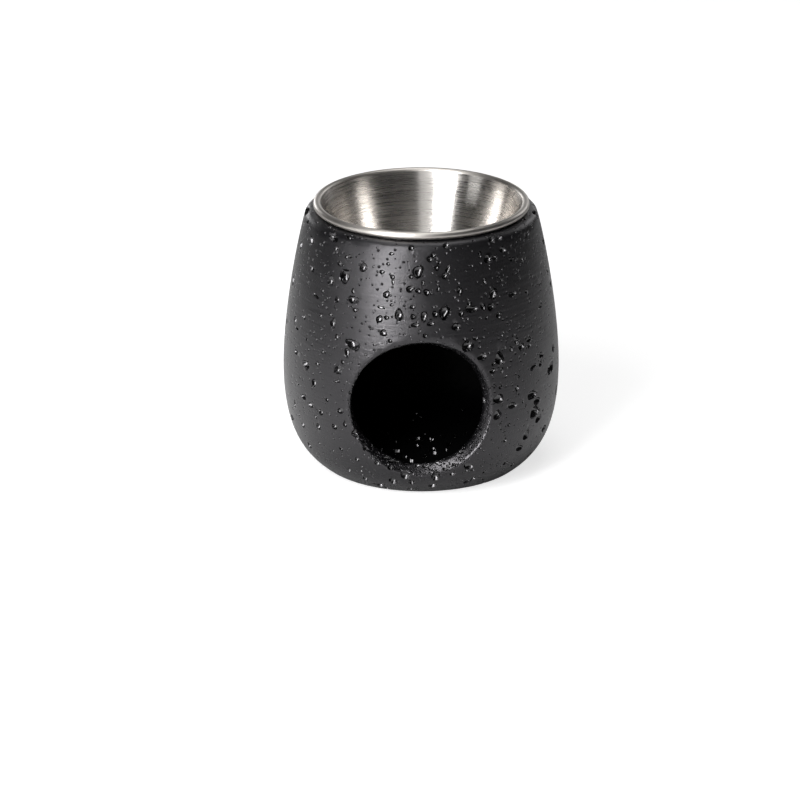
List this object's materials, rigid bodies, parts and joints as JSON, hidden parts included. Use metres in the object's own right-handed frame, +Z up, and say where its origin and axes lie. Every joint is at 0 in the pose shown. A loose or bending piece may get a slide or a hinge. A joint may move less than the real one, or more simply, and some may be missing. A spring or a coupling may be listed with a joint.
{
  "type": "essential oil burner",
  "caption": "Round tea light oil burner: a pitted black ceramic jar with a round front mouth, and a brushed steel dish that rests in its rim and lifts out.",
  "frame": {"origin": "middle of the foot, on the surface the burner stands on", "axes": "+Z up along the jar's axis; the round mouth looks along -Y; +X to the right of someone facing the mouth"},
  "size_m": [0.1, 0.098, 0.0988],
  "materials": {
    "black_lava_ceramic": "satin black glaze with open pits, glossier inside the chamber",
    "brushed_stainless": "brushed round the dish's axis, polished lip"
  },
  "bodies": {
    "jar": {"ceramic_body": "black_lava_ceramic"},
    "dish": {"oil_dish": "brushed_stainless"}
  },
  "joints": [
    {"name": "dish_lift", "type": "slide", "parent": "jar", "child": "dish", "axis": [0, 0, 1], "range_m": [0, 0.05]}
  ]
}
